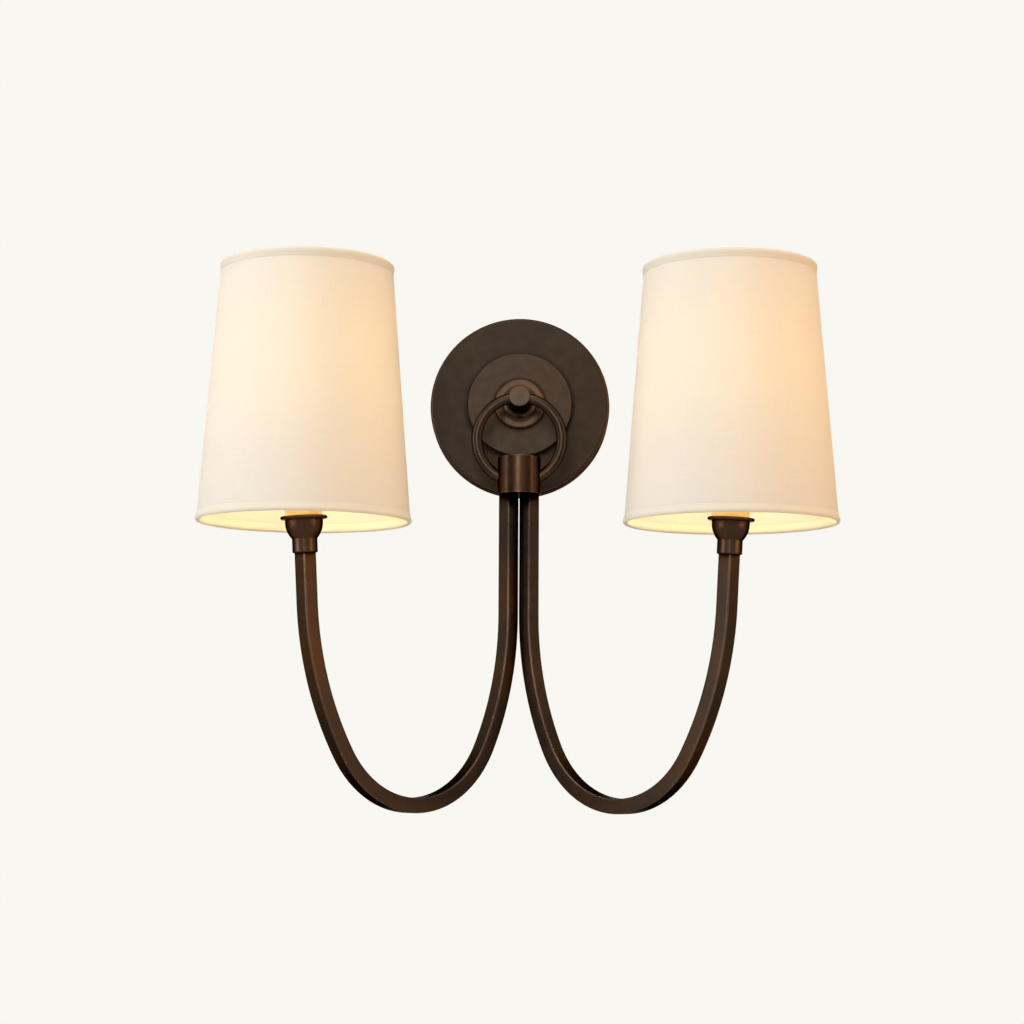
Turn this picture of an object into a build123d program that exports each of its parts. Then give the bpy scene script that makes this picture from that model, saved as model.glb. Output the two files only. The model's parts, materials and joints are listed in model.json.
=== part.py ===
from build123d import *
from math import asin, atan2, cos, degrees, hypot, radians, sin, tan
import os

# Double arm wall sconce, in millimetres.
# The origin is the centre of the canopy's back rim, on the wall. +Z is up, +X is to
# the right and the wall lies behind, at +Y, so the sconce stands out towards -Y.
# "Reach" is a distance out from the wall. Left and right are the viewer's.

# --- fits
slip = 0.05  # radial clearance of a threaded or pressed fit
running = 0.06  # radial clearance of a fit that turns

# --- canopy, the discs on it and the post
canopy_radius = 60.3
canopy_depth = 18.0
canopy_wall = 1.2
canopy_edge = 2.4
disc_radius = 34.6
disc_height = 8.7
disc_wall = 1.2
disc_edge = 0.6
boss_radius = 16.7
boss_height = 3.4
boss_edge = 1.2
foot_radius = 12.3
foot_land = 1.0
cove_height = 6.5
cove_across = 0.3  # where the cove's middle lies, as a share of its width
cove_along = 0.32  # and of its height
post_radius = 7.0
post_beyond_ring = 7.5
post_chamfer = 0.6
post_chamber_radius = 4.1
post_face = 3.5

# --- wall fittings inside the canopy
strap_inset = 6.1
strap_width = 20.0
strap_thickness = 2.0
strap_tab_reach = 14.0
strap_bend = 1.0
box_slot_inset = 8.55
box_slot_radius = 2.4
box_slot_travel = 5.2
stem_radius = 4.85
stem_bore_radius = 3.45
stem_back_reach = 11.0
stem_grip = 13.0
stem_flats = 14.3
lock_nut_height = 3.2
ground_screw_x = 22.0
ground_screw_radius = 2.35
ground_head_radius = 4.6
ground_head_height = 3.2
ground_slot_depth = 1.4
ground_slot_length = 6.4
ground_slot_width = 1.0
set_screw_reach = 8.0
set_screw_radius = 2.0
set_screw_inset = 0.4
set_screw_key = 1.1
set_screw_key_depth = 2.0
bush_radius = 4.0
bush_length = 4.2
connector_start = 18.0
connector_length = 19.0
connector_mouth_radius = 4.6
connector_tip_radius = 3.2
connector_bore_radius = 2.25
connector_bore_depth = 7.0

# --- ring and collar
ring_reach = 54.9
ring_radius = 27.9
ring_tube_radius = 3.55
ring_bore_radius = 2.3
ring_end_in_post = 4.3
wire_straight_in_post = 0.3
ring_end_in_collar = 11.0
collar_radius = 14.0
collar_top = -39.5
collar_bottom = -64.0
collar_wall = 3.6
collar_roof = 4.0
collar_edge = 0.7
collar_plate_thickness = 3.0
collar_plate_hole_radius = 2.6

# --- arms: square bar, in upright planes turned outward from the wall's normal
arm_side = 9.5
arm_edge = 0.8
arm_bore_side = 6.5
arm_bore_edge = 0.5
arm_gap = 0.6
arm_splay = 45.0
arm_drop = 79.0
inner_bend_radius = 185.0
inner_bend_angle = 27.7
bottom_bend_radius = 67.6
bottom_bend_angle = 119.3
outer_bend_radius = 189.0
arm_lean = 4.0
arm_end_height = -107.1

# --- ferrule, cup and what holds the socket, measured along the leaning arm end
ferrule_radius = 7.6
ferrule_grip = 7.4
ferrule_web = 1.2
ferrule_edge = 1.0
bowl_foot_radius = 7.6
bowl_waist_radius = 10.35
bowl_waist_share = 0.38
bowl_radius = 11.3
bowl_height = 11.6
bowl_wall = 1.1
flange_radius = 14.15
flange_thickness = 2.0
flange_edge = 0.9
socket_nipple_radius = 4.85
socket_nipple_bore = 3.4
socket_nipple_length = 8.0
socket_nut_flats = 12.0
socket_nut_height = 2.8
bracket_thickness = 1.2
bracket_width = 7.0
bracket_strip_offset = 7.4
bracket_ring_radius = 6.9
bracket_foot_end = 2.7
bracket_bend = 1.3

# --- candle sleeve and socket, upright
sleeve_radius = 11.2
sleeve_wall = 0.9
sleeve_top = -44.0
socket_radius = 9.0
socket_height = 33.0
socket_top_inset = 1.0
socket_bore_depth = 17.0
shell_inner_radius = 5.91
shell_wall = 0.4
shell_height = 14.5
shell_inset = 0.5
contact_disc_radius = 2.6
contact_disc_height = 0.8

# --- lamp bulb
base_radius = 5.85
base_wall = 0.65
base_bottom = -57.5
base_top = -43.5
base_contact_radius = 1.8
insulator_height = 2.3
insulator_foot_radius = 3.0
contact_gap = 0.1
glass_wall = 0.8
glass_seat = 5.5
neck_top = -39.0
glass_radius = 16.0
glass_shoulder = -22.0
glass_belly = -2.0
glass_tip_radius = 2.6
glass_tip = 35.0
neck_bend = 9.0
shoulder_bend = 13.0
belly_bend = 60.0
tip_bend = 2.2
stem_top = -26.0
lead_seat = 4.3
stem_neck_radius = 1.3
filament_half_width = 3.5
filament_shoulder = -10.0
filament_top = 3.0
filament_wire = 0.35
filament_bend = 1.0

# --- shade
shade_bottom = -96.2
shade_top = 60.5
shade_bottom_radius = 65.1
shade_top_radius = 52.8
skin_thickness = 1.0
frame_wire = 1.1
hem_wrap = 0.5
hem_height = 5.4
hem_leaf = 0.45
hub_height = 42.0
hub_radius = 5.6
hub_thickness = 3.0
frame_arm_shelf = 8.0
frame_arm_run = 9.0
frame_arm_bend = 5.0
frame_arm_angles = (30, 150, 270)

# --- spring clip that grips the bulb
ball_radius = 3.0
clip_stud_radius = 1.4
crown_radius = 4.0
crown_thickness = 1.2
crown_gap = 1.3
clip_wire = 0.8
clip_gap = 0.12
clip_half_angle = 20.0
clip_reach_down = 14.0
clip_flare = 1.35
clip_bend = 2.5

# --- insulated wires, a pair for each lamp
wire_radius = 0.9
pair_in_ring = 0.95
pair_in_post = 1.0
pair_in_arm = 1.35
wire_reach_in_canopy = 7.0
wire_in_connector = 5.5
post_wire_bend = 3.4
collar_wire_bend = 4.5
socket_wire_bend = 60.0

# --- worked out from the values above
strap_half_length = canopy_radius - canopy_wall - strap_inset
box_screw_spacing = 2 * (strap_half_length - box_slot_inset)
disc_reach = canopy_depth + disc_height
boss_reach = disc_reach + boss_height
post_reach = ring_reach + post_beyond_ring
ring_centre = -ring_radius
ring_collar_angle = degrees(asin(ring_end_in_collar / ring_radius))
ring_post_angle = degrees(asin(ring_end_in_post / ring_radius))
arm_turn = cos(radians(arm_splay)) + sin(radians(arm_splay))
arm_x = (arm_side / 2 - arm_edge) * arm_turn + arm_edge + arm_gap / 2
outer_bend_angle = 180 - arm_lean - inner_bend_angle - bottom_bend_angle
slant_length = hypot(shade_top - shade_bottom, shade_bottom_radius - shade_top_radius)
slant_rise = (shade_top - shade_bottom) / slant_length
slant_run = (shade_top_radius - shade_bottom_radius) / slant_length
cup_base = ferrule_web
cup_top = cup_base + bowl_height + flange_thickness
bracket_level = cup_base + bowl_wall + socket_nut_height
socket_top = sleeve_top - socket_top_inset
socket_bottom = socket_top - socket_height
shell_outer_radius = shell_inner_radius + shell_wall
insulator_bottom = base_bottom - insulator_height
socket_floor = socket_top - socket_bore_depth
crown_bottom = glass_tip + crown_gap
crown_top = crown_bottom + crown_thickness
wire_ring_inset = frame_wire + hem_wrap


def save(piece, name):
    """Label a finished piece and write it as its own file."""
    piece.part.label = name
    export_step(piece.part, f"parts/{name}.step")


def bend(start, heading, radius, turn):
    """Middle, end and end heading of an arc that turns left from start."""
    centre = (start[0] - radius * sin(heading), start[1] + radius * cos(heading))

    def at(angle):
        return (centre[0] + radius * sin(angle), centre[1] - radius * cos(angle))

    return at(heading + radians(turn) / 2), at(heading + radians(turn)), heading + radians(turn)


# The arm's centre line in its own plane: across from the collar, and height.
arm_start = (0.0, collar_bottom)
inner_start = (0.0, collar_bottom - arm_drop)
inner_middle, inner_end, inner_heading = bend(
    inner_start, radians(-90), inner_bend_radius, inner_bend_angle
)
bottom_middle, bottom_end, bottom_heading = bend(
    inner_end, inner_heading, bottom_bend_radius, bottom_bend_angle
)
outer_middle, outer_end, outer_heading = bend(
    bottom_end, bottom_heading, outer_bend_radius, outer_bend_angle
)
arm_end = (
    outer_end[0] + (arm_end_height - outer_end[1]) * tan(radians(arm_lean)),
    arm_end_height,
)


def leaning(across, along):
    """A point beside and along the leaning axis that goes on from the arm's end."""
    lean = radians(arm_lean)
    return (
        arm_end[0] + across * cos(lean) + along * sin(lean),
        arm_end[1] - across * sin(lean) + along * cos(lean),
    )


# The candle stands upright on the middle of the flange, and the shade hangs round it.
candle_across, flange_height = leaning(0, cup_top)


def in_space(side, point, shift=0.0):
    """The place in space of a point of an arm's plane, shifted outward along X."""
    across, height = point
    return (
        side * (arm_x + shift + across * cos(radians(arm_splay))),
        -ring_reach - across * sin(radians(arm_splay)),
        height,
    )


def arm_plane(side):
    """The upright plane of one arm: its x runs outward and its y runs up."""
    splay = radians(arm_splay)
    return Plane(
        origin=in_space(side, (0, 0)),
        x_dir=(side * cos(splay), -sin(splay), 0),
        z_dir=(-sin(splay), -side * cos(splay), 0),
    )


def cup_plane(side):
    """The arm's plane leaned with the arm's end: its y is the axis of the cup."""
    plane = arm_plane(side)
    lean = radians(arm_lean)
    return Plane(
        origin=in_space(side, arm_end),
        x_dir=plane.x_dir * cos(lean) - plane.y_dir * sin(lean),
        z_dir=plane.z_dir,
    )


def candle_plane(side):
    """An upright plane through the candle's axis, at the height of the origin."""
    across = in_space(side, (candle_across, 0))
    return Plane(origin=across, x_dir=(1, 0, 0), z_dir=(0, -1, 0))


def axis_up(plane):
    """The turning axis that stands along a plane's y."""
    return Axis(plane.origin, plane.y_dir)


def level(side, height):
    """The level plane round a candle's axis at one height."""
    return Plane.XY.offset(height).shift_origin(in_space(side, (candle_across, height)))


def ring_point(side, radius, angle):
    """A point of the ring at an angle from its top, opening outward."""
    return (
        side * radius * sin(radians(angle)),
        -ring_reach,
        ring_centre + radius * cos(radians(angle)),
    )


def ring_section(side, angle):
    """The plane across the ring's tube at an angle from the top."""
    turn = radians(angle)
    return Plane(
        origin=(0, -ring_reach, ring_centre),
        x_dir=(side * sin(turn), 0, cos(turn)),
        z_dir=(side * cos(turn), 0, -sin(turn)),
    )


def slant(along, out):
    """Radius and height at a place along the shade's slope and out from its middle."""
    middle = shade_bottom_radius - wire_ring_inset
    return (
        middle + along * slant_run + out * slant_rise,
        shade_bottom + along * slant_rise - out * slant_run,
    )


os.makedirs("parts", exist_ok=True)

# ---------------------------------------------------------------- wall fittings
with BuildPart() as mounting_strap:
    with BuildSketch(Plane.XY):
        with BuildLine():
            FilletPolyline(
                (-strap_half_length + strap_thickness / 2, -strap_tab_reach),
                (-strap_half_length + strap_thickness / 2, -strap_thickness / 2),
                (strap_half_length - strap_thickness / 2, -strap_thickness / 2),
                (strap_half_length - strap_thickness / 2, -strap_tab_reach),
                radius=strap_bend + strap_thickness / 2,
            )
        trace(line_width=strap_thickness)
    extrude(amount=strap_width / 2, both=True)
    with BuildSketch(Plane.XZ):
        with Locations((-box_screw_spacing / 2, 0), (box_screw_spacing / 2, 0)):
            SlotCenterToCenter(box_slot_travel, 2 * box_slot_radius)
        Circle(stem_radius + slip)
        with Locations((ground_screw_x, 0)):
            Circle(ground_screw_radius + slip)
    extrude(amount=strap_thickness, mode=Mode.SUBTRACT)
save(mounting_strap, "mounting_strap")

with BuildPart() as ground_screw:
    with BuildSketch(Plane.XZ.offset(strap_thickness)):
        with Locations((ground_screw_x, 0)):
            RegularPolygon(ground_head_radius, 6)
    extrude(amount=ground_head_height)
    with BuildSketch(Plane.XZ):
        with Locations((ground_screw_x, 0)):
            Circle(ground_screw_radius)
    extrude(amount=strap_thickness)
    with BuildSketch(Plane.XZ.offset(strap_thickness + ground_head_height)):
        with Locations((ground_screw_x, 0)):
            Rectangle(ground_slot_length, ground_slot_width)
    extrude(amount=-ground_slot_depth, mode=Mode.SUBTRACT)
save(ground_screw, "ground_screw")

# ---------------------------------------------------------------- canopy and discs
with BuildPart() as canopy:
    with BuildSketch(Plane.XY):
        with BuildLine():
            Polyline(
                (stem_radius + slip, -canopy_depth),
                (canopy_radius, -canopy_depth),
                (canopy_radius, 0),
                (canopy_radius - canopy_wall, 0),
                (canopy_radius - canopy_wall, canopy_wall - canopy_depth),
                (stem_radius + slip, canopy_wall - canopy_depth),
                close=True,
            )
        make_face()
        corners = vertices().sort_by(Axis.X)
        fillet(corners[-2:].sort_by(Axis.Y)[:1], canopy_edge)
        fillet(corners[2:4].sort_by(Axis.Y)[:1], canopy_edge - canopy_wall)
    revolve(axis=Axis.Y)
    with BuildSketch(Plane.YZ.offset(-canopy_radius)):
        with Locations((-set_screw_reach, 0)):
            Circle(set_screw_radius + slip)
    extrude(amount=2 * canopy_radius, mode=Mode.SUBTRACT)
save(canopy, "canopy")

with BuildPart() as rim_bushes:
    for side in (-1, 1):
        with BuildSketch(Plane.YZ.offset(side * (canopy_radius - canopy_wall - bush_length))):
            with Locations((-set_screw_reach, 0)):
                Circle(bush_radius)
                Circle(set_screw_radius + slip, mode=Mode.SUBTRACT)
        extrude(amount=side * (bush_length + canopy_wall))
    with BuildSketch(Plane.XZ):
        Circle(canopy_radius - canopy_wall)
    extrude(amount=canopy_depth, mode=Mode.INTERSECT)
save(rim_bushes, "rim_bushes")

with BuildPart() as set_screws:
    for side in (-1, 1):
        with BuildSketch(Plane.YZ.offset(side * strap_half_length)):
            with Locations((-set_screw_reach, 0)):
                Circle(set_screw_radius)
        extrude(amount=side * (canopy_radius - set_screw_inset - strap_half_length))
        with BuildSketch(Plane.YZ.offset(side * (canopy_radius - set_screw_inset))):
            with Locations((-set_screw_reach, 0)):
                RegularPolygon(set_screw_key, 6)
        extrude(amount=-side * set_screw_key_depth, mode=Mode.SUBTRACT)
save(set_screws, "set_screws")

with BuildPart() as middle_disc:
    with BuildSketch(Plane.XY):
        with BuildLine():
            Polyline(
                (stem_radius + slip, -disc_reach),
                (disc_radius, -disc_reach),
                (disc_radius, -canopy_depth),
                (disc_radius - disc_wall, -canopy_depth),
                (disc_radius - disc_wall, disc_wall - disc_reach),
                (stem_radius + slip, disc_wall - disc_reach),
                close=True,
            )
        make_face()
        fillet(vertices().sort_by(Axis.X)[-2:].sort_by(Axis.Y)[:1], disc_edge)
    revolve(axis=Axis.Y)
save(middle_disc, "middle_disc")

with BuildPart() as boss:
    with BuildSketch(Plane.XY):
        with BuildLine():
            Polyline(
                (stem_radius + slip, -boss_reach),
                (boss_radius, -boss_reach),
                (boss_radius, -disc_reach),
                (stem_radius + slip, -disc_reach),
                close=True,
            )
        make_face()
        fillet(vertices().sort_by(Axis.X)[-2:].sort_by(Axis.Y)[:1], boss_edge)
    revolve(axis=Axis.Y)
save(boss, "boss")

with BuildPart() as post:
    cove_start = (foot_radius, -boss_reach - foot_land)
    cove_end = (post_radius, -boss_reach - foot_land - cove_height)
    cove_middle = (
        post_radius + cove_across * (foot_radius - post_radius),
        -boss_reach - foot_land - cove_along * cove_height,
    )
    with BuildSketch(Plane.XY):
        with BuildLine():
            Line((stem_radius + slip, -boss_reach), (foot_radius, -boss_reach))
            Line((foot_radius, -boss_reach), cove_start)
            ThreePointArc(cove_start, cove_middle, cove_end)
            Polyline(
                cove_end,
                (post_radius, -post_reach + post_chamfer),
                (post_radius - post_chamfer, -post_reach),
                (0, -post_reach),
                (0, -post_reach + post_face),
                (post_chamber_radius, -post_reach + post_face),
                (post_chamber_radius, -boss_reach - stem_grip),
                (stem_radius + slip, -boss_reach - stem_grip),
                (stem_radius + slip, -boss_reach),
            )
        make_face()
    revolve(axis=Axis.Y)
    with BuildSketch(ring_section(1, 0)):
        with Locations((ring_radius, 0)):
            Circle(ring_tube_radius + slip)
    revolve(axis=Axis((0, -ring_reach, ring_centre), (0, 1, 0)), mode=Mode.SUBTRACT)
save(post, "post")

with BuildPart() as stem_nipple:
    with BuildSketch(Plane.XZ.offset(stem_back_reach)):
        Circle(stem_radius)
        Circle(stem_bore_radius, mode=Mode.SUBTRACT)
    extrude(amount=boss_reach + stem_grip - stem_back_reach)
save(stem_nipple, "stem_nipple")

with BuildPart() as lock_nut:
    with BuildSketch(Plane.XZ.offset(canopy_depth - canopy_wall - lock_nut_height)):
        RegularPolygon(stem_flats / 2, 6, major_radius=False)
        Circle(stem_radius + slip, mode=Mode.SUBTRACT)
    extrude(amount=lock_nut_height)
save(lock_nut, "lock_nut")

with BuildPart() as wire_connectors:
    for up in (-1, 1):
        mouth = Plane(origin=(0, -wire_reach_in_canopy, up * connector_start), z_dir=(0, 0, up))
        with BuildSketch(mouth):
            Circle(connector_mouth_radius)
        with BuildSketch(mouth.offset(connector_length)):
            Circle(connector_tip_radius)
        loft()
        with BuildSketch(mouth):
            Circle(connector_bore_radius)
        extrude(amount=connector_bore_depth, mode=Mode.SUBTRACT)
save(wire_connectors, "wire_connectors")

# ---------------------------------------------------------------- ring and collar
with BuildPart() as collar:
    with BuildSketch(Plane((0, -ring_reach, collar_bottom))):
        Circle(collar_radius)
    extrude(amount=collar_top - collar_bottom)
    fillet(edges().group_by(Axis.Z)[-1], collar_edge)
    with BuildSketch(Plane((0, -ring_reach, collar_bottom))):
        Circle(collar_radius - collar_wall)
    extrude(amount=collar_top - collar_bottom - collar_roof, mode=Mode.SUBTRACT)
    with BuildSketch(ring_section(1, 0)):
        with Locations((ring_radius, 0)):
            Circle(ring_tube_radius + slip)
    revolve(axis=Axis((0, -ring_reach, ring_centre), (0, 1, 0)), mode=Mode.SUBTRACT)
save(collar, "collar")

with BuildPart() as collar_plate:
    with BuildSketch(Plane((0, -ring_reach, collar_bottom))):
        Circle(collar_radius - collar_wall - slip)
        with Locations((-arm_x, 0), (arm_x, 0)):
            Circle(collar_plate_hole_radius, mode=Mode.SUBTRACT)
    extrude(amount=collar_plate_thickness)
save(collar_plate, "collar_plate")

for side, name in ((-1, "left"), (1, "right")):
    ring_axis = Axis((0, -ring_reach, ring_centre), (0, side, 0))
    leaned = cup_plane(side)
    upright = candle_plane(side)

    with BuildPart() as ring:
        with BuildSketch(ring_section(side, ring_post_angle)):
            with Locations((ring_radius, 0)):
                Circle(ring_tube_radius)
                Circle(ring_bore_radius, mode=Mode.SUBTRACT)
        revolve(axis=ring_axis, revolution_arc=180 - ring_collar_angle - ring_post_angle)
    save(ring, f"ring_{name}")

    # ------------------------------------------------------------ arm
    with BuildPart() as arm:
        with BuildLine():
            Line(in_space(side, arm_start), in_space(side, inner_start))
            for first, middle, last in (
                (inner_start, inner_middle, inner_end),
                (inner_end, bottom_middle, bottom_end),
                (bottom_end, outer_middle, outer_end),
            ):
                ThreePointArc(*(in_space(side, point) for point in (first, middle, last)))
            Line(in_space(side, outer_end), in_space(side, arm_end))
        with BuildSketch(
            Plane(in_space(side, arm_start), x_dir=arm_plane(side).x_dir, z_dir=(0, 0, -1))
        ):
            RectangleRounded(arm_side, arm_side, arm_edge)
            RectangleRounded(arm_bore_side, arm_bore_side, arm_bore_edge, mode=Mode.SUBTRACT)
        sweep()
    save(arm, f"arm_{name}")

    # ------------------------------------------------------------ ferrule and cup
    with BuildPart() as ferrule:
        with BuildSketch(leaned):
            with BuildLine():
                Polyline(
                    (0, -ferrule_grip),
                    (ferrule_radius, -ferrule_grip),
                    (ferrule_radius, ferrule_web),
                    (0, ferrule_web),
                    close=True,
                )
            make_face()
            fillet(vertices().sort_by(Axis.X)[-2:].sort_by(Axis.Y)[:1], ferrule_edge)
        revolve(axis=axis_up(leaned))
        foot = Plane(leaned.origin, x_dir=leaned.x_dir, z_dir=leaned.y_dir)
        with BuildSketch(foot.offset(-ferrule_grip)):
            RectangleRounded(arm_side + 2 * slip, arm_side + 2 * slip, arm_edge)
        extrude(amount=ferrule_grip, mode=Mode.SUBTRACT)
        with BuildSketch(foot):
            Circle(socket_nipple_radius + slip)
        extrude(amount=ferrule_web, mode=Mode.SUBTRACT)
    save(ferrule, f"ferrule_{name}")

    with BuildPart() as cup:
        waist = cup_base + bowl_waist_share * bowl_height
        rim = cup_base + bowl_height
        with BuildSketch(leaned):
            with BuildLine():
                Line((socket_nipple_radius + slip, cup_base), (bowl_foot_radius, cup_base))
                ThreePointArc(
                    (bowl_foot_radius, cup_base), (bowl_waist_radius, waist), (bowl_radius, rim)
                )
                Line((bowl_radius, rim), (flange_radius - flange_edge, rim))
                ThreePointArc(
                    (flange_radius - flange_edge, rim),
                    (flange_radius, (rim + cup_top) / 2),
                    (flange_radius - flange_edge, cup_top),
                )
                Polyline(
                    (flange_radius - flange_edge, cup_top),
                    (bowl_radius - bowl_wall, cup_top),
                    (bowl_radius - bowl_wall, rim),
                )
                ThreePointArc(
                    (bowl_radius - bowl_wall, rim),
                    (bowl_waist_radius - bowl_wall, waist + bowl_wall / 2),
                    (bowl_foot_radius - bowl_wall / 2, cup_base + bowl_wall),
                )
                Polyline(
                    (bowl_foot_radius - bowl_wall / 2, cup_base + bowl_wall),
                    (socket_nipple_radius + slip, cup_base + bowl_wall),
                    (socket_nipple_radius + slip, cup_base),
                )
            make_face()
        revolve(axis=axis_up(leaned))
    save(cup, f"cup_{name}")

    with BuildPart() as socket_nipple:
        with BuildSketch(foot):
            Circle(socket_nipple_radius)
            Circle(socket_nipple_bore, mode=Mode.SUBTRACT)
        extrude(amount=socket_nipple_length)
    save(socket_nipple, f"socket_nipple_{name}")

    with BuildPart() as socket_nut:
        with BuildSketch(foot.offset(cup_base + bowl_wall)):
            RegularPolygon(socket_nut_flats / 2, 6, major_radius=False)
            Circle(socket_nipple_radius + slip, mode=Mode.SUBTRACT)
        extrude(amount=socket_nut_height)
    save(socket_nut, f"socket_nut_{name}")

    # The bracket's ring leans with the cup and its strip is bent upright.
    with BuildPart() as socket_bracket:
        with BuildSketch(foot.offset(bracket_level)):
            Circle(bracket_ring_radius)
        extrude(amount=bracket_thickness)
        middle = bracket_level + bracket_thickness / 2
        strip_bend = leaning(bracket_strip_offset, cup_top)
        strip_across = candle_across + bracket_strip_offset
        top = socket_bottom - bracket_thickness / 2
        with BuildSketch(arm_plane(side)):
            with BuildLine():
                FilletPolyline(
                    leaning(socket_nipple_radius, middle),
                    leaning(bracket_strip_offset, middle),
                    (strip_across, strip_bend[1]),
                    (strip_across, top),
                    (candle_across + bracket_foot_end, top),
                    radius=bracket_bend,
                )
            trace(line_width=bracket_thickness)
        extrude(amount=bracket_width / 2, both=True)
        with BuildSketch(foot):
            Circle(socket_nipple_radius + slip)
        extrude(amount=cup_top, mode=Mode.SUBTRACT)
    save(socket_bracket, f"socket_bracket_{name}")

    # ------------------------------------------------------------ candle and socket
    with BuildPart() as candle_sleeve:
        with BuildSketch(level(side, flange_height - sleeve_wall)):
            Circle(sleeve_radius)
            Circle(sleeve_radius - sleeve_wall, mode=Mode.SUBTRACT)
        extrude(amount=sleeve_top - flange_height + sleeve_wall)
        split(bisect_by=foot.offset(cup_top), keep=Keep.TOP)
    save(candle_sleeve, f"candle_sleeve_{name}")

    with BuildPart() as socket_body:
        with BuildSketch(level(side, socket_bottom)):
            Circle(socket_radius)
        extrude(amount=socket_height)
        chamfer(edges().group_by(Axis.Z)[-1], shell_wall)
        with BuildSketch(level(side, socket_floor)):
            Circle(shell_outer_radius + slip)
        extrude(amount=socket_bore_depth, mode=Mode.SUBTRACT)
    save(socket_body, f"socket_body_{name}")

    with BuildPart() as socket_screw_shell:
        with BuildSketch(level(side, socket_top - shell_inset)):
            Circle(shell_outer_radius)
            Circle(shell_inner_radius, mode=Mode.SUBTRACT)
        extrude(amount=-shell_height)
    save(socket_screw_shell, f"socket_screw_shell_{name}")

    with BuildPart() as socket_contact:
        with BuildSketch(level(side, socket_floor)):
            Circle(contact_disc_radius)
        extrude(amount=contact_disc_height)
    save(socket_contact, f"socket_contact_{name}")

    # ------------------------------------------------------------ bulb
    with BuildPart() as bulb_base:
        with BuildSketch(level(side, base_bottom)):
            Circle(base_radius)
            Circle(base_radius - base_wall, mode=Mode.SUBTRACT)
        extrude(amount=base_top - base_bottom)
    save(bulb_base, f"bulb_base_{name}")

    with BuildPart() as bulb_insulator:
        with BuildSketch(level(side, insulator_bottom)):
            Circle(insulator_foot_radius)
        with BuildSketch(level(side, base_bottom)):
            Circle(base_radius - base_wall)
        loft()
        with BuildSketch(level(side, base_bottom)):
            Circle(base_radius - base_wall - slip)
        extrude(amount=base_wall)
    save(bulb_insulator, f"bulb_insulator_{name}")

    with BuildPart() as bulb_contact:
        with BuildSketch(level(side, socket_floor + contact_disc_height + contact_gap)):
            Circle(base_contact_radius)
        extrude(until=Until.NEXT, target=bulb_insulator.part)
    save(bulb_contact, f"bulb_contact_{name}")

    def glass_outline(inset):
        """Half of the glass outline, drawn in by a wall."""
        neck = base_radius - base_wall - slip - inset
        with BuildSketch(upright) as half:
            with BuildLine():
                outline = FilletPolyline(
                    (neck, base_top - glass_seat),
                    (neck, neck_top),
                    (glass_radius - inset, glass_shoulder),
                    (glass_radius - inset, glass_belly),
                    (glass_tip_radius - inset / 2, glass_tip - inset),
                    (0, glass_tip - inset),
                    radius=[neck_bend + inset, shoulder_bend - inset, belly_bend, tip_bend - inset],
                )
                Polyline((0, glass_tip - inset), (0, base_top - glass_seat), outline @ 0)
            make_face()
        return half.sketch

    with BuildPart() as bulb_glass:
        revolve(glass_outline(0), axis=axis_up(upright))
        revolve(glass_outline(glass_wall), axis=axis_up(upright), mode=Mode.SUBTRACT)
    save(bulb_glass, f"bulb_glass_{name}")

    with BuildPart() as bulb_mount:
        neck_bore = base_radius - base_wall - slip - glass_wall
        with BuildSketch(upright):
            with BuildLine():
                Polyline(
                    (0, base_top - glass_seat),
                    (neck_bore - slip, base_top - glass_seat),
                    (neck_bore - slip, base_top),
                    (stem_neck_radius, stem_top),
                    (0, stem_top),
                    close=True,
                )
            make_face()
        revolve(axis=axis_up(upright))
        with BuildLine(upright) as filament:
            FilletPolyline(
                (-stem_neck_radius / 2, stem_top - lead_seat),
                (-filament_half_width, filament_shoulder),
                (0, filament_top),
                (filament_half_width, filament_shoulder),
                (stem_neck_radius / 2, stem_top - lead_seat),
                radius=filament_bend,
            )
        with BuildSketch(Plane(filament.line @ 0, z_dir=filament.line % 0)):
            Circle(filament_wire)
        sweep()
    save(bulb_mount, f"bulb_mount_{name}")

    # ------------------------------------------------------------ clip on the bulb
    with BuildPart() as bulb_clip:
        belly_slope = atan2(glass_radius - glass_tip_radius, glass_tip - glass_belly)
        wire_out = clip_wire + clip_gap
        belly_reach = glass_radius + wire_out
        bottom_reach = belly_reach + clip_flare
        crown_middle = crown_bottom + clip_wire
        crown_reach = (
            glass_radius
            - (crown_middle - glass_belly) * tan(belly_slope)
            + wire_out / cos(belly_slope)
        )
        with BuildSketch(level(side, crown_bottom)):
            Circle(crown_radius)
        extrude(amount=crown_thickness)
        with BuildSketch(level(side, crown_top)):
            Circle(clip_stud_radius)
        extrude(amount=hub_height - crown_top)
        with Locations(Location(level(side, hub_height))):
            Sphere(ball_radius)
        for facing in (0, 180):
            rays = [radians(facing - clip_half_angle), radians(facing + clip_half_angle)]
            stops = [
                (crown_reach, crown_middle),
                (belly_reach, glass_belly),
                (bottom_reach, -clip_reach_down),
            ]
            down = [(r * cos(rays[0]), r * sin(rays[0]), z) for r, z in stops]
            back = [(r * cos(rays[1]), r * sin(rays[1]), z) for r, z in reversed(stops)]
            with BuildLine(level(side, 0)) as loop:
                FilletPolyline(*down, *back, radius=clip_bend)
            with BuildSketch(Plane(loop.line @ 0, z_dir=loop.line % 0)):
                Circle(clip_wire)
            sweep()
    save(bulb_clip, f"bulb_clip_{name}")

    # ------------------------------------------------------------ shade
    with BuildPart() as shade_skin:
        skin_end = wire_ring_inset + frame_wire
        with BuildSketch(upright):
            with BuildLine():
                Polyline(
                    slant(skin_end, skin_thickness / 2),
                    slant(slant_length - skin_end, skin_thickness / 2),
                    slant(slant_length - skin_end, -skin_thickness / 2),
                    slant(skin_end, -skin_thickness / 2),
                    close=True,
                )
            make_face()
        revolve(axis=axis_up(upright))
    save(shade_skin, f"shade_skin_{name}")

    def hem_section(edge, inward):
        """The tape's section at one end of the slope, wrapped round wire and skin."""

        def at(along, out):
            return slant(edge + inward * along, out)

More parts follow.
